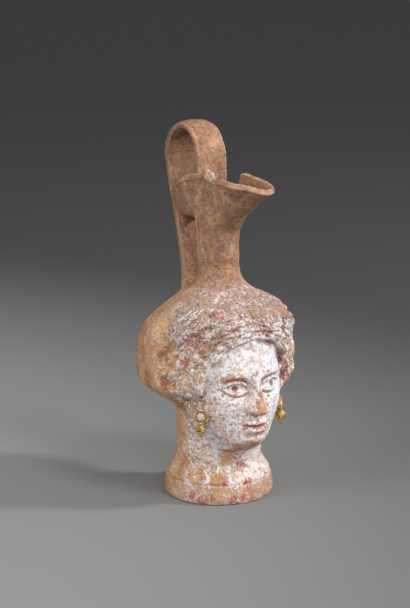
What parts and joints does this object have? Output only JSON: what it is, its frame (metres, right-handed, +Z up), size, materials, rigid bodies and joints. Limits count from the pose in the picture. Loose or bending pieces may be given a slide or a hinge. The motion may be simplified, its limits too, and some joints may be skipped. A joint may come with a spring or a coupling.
{
  "type": "figural oinochoe",
  "caption": "Fired-clay wine jug in the form of a woman's head, with a tall neck, a pinched trefoil pouring mouth and a strap handle rising over the mouth.",
  "frame": {"origin": "centre of the foot's flat underside", "axes": "+Z up; the face and the spout look along -Y, the handle is at +Y, the head's own left is +X"},
  "size_m": [0.1232, 0.1397, 0.288],
  "materials": {
    "bare_clay": "smooth unslipped orange-brown terracotta, scratched and dusted with slip",
    "foot_clay": "bare terracotta foot band with rests of pink and white slip",
    "slipped_clay": "flaking white slip over terracotta, with rests of pink and red paint",
    "slipped_hair": "worn white and pink slip with rests of red-brown paint over terracotta",
    "neck_clay": "mottled brown unslipped terracotta with fine dark specks",
    "gilt_clay": "worn gilding over clay"
  },
  "bodies": {
    "root": {"base_disc": "bare_clay", "base_ring": "foot_clay", "front_half": "slipped_clay", "back_half": "bare_clay", "pouring_neck": "neck_clay", "handle": "neck_clay", "hair_lock_right_1": "slipped_hair", "hair_lock_right_2": "slipped_hair", "hair_lock_right_3": "slipped_hair", "hair_lock_right_4": "slipped_hair", "hair_lock_left_1": "slipped_hair", "hair_lock_left_2": "slipped_hair", "hair_lock_left_3": "slipped_hair", "hair_lock_left_4": "slipped_hair", "earring_disc_right": "gilt_clay", "earring_pendant_right": "gilt_clay", "earring_disc_left": "gilt_clay", "earring_pendant_left": "gilt_clay"}
  },
  "joints": []
}
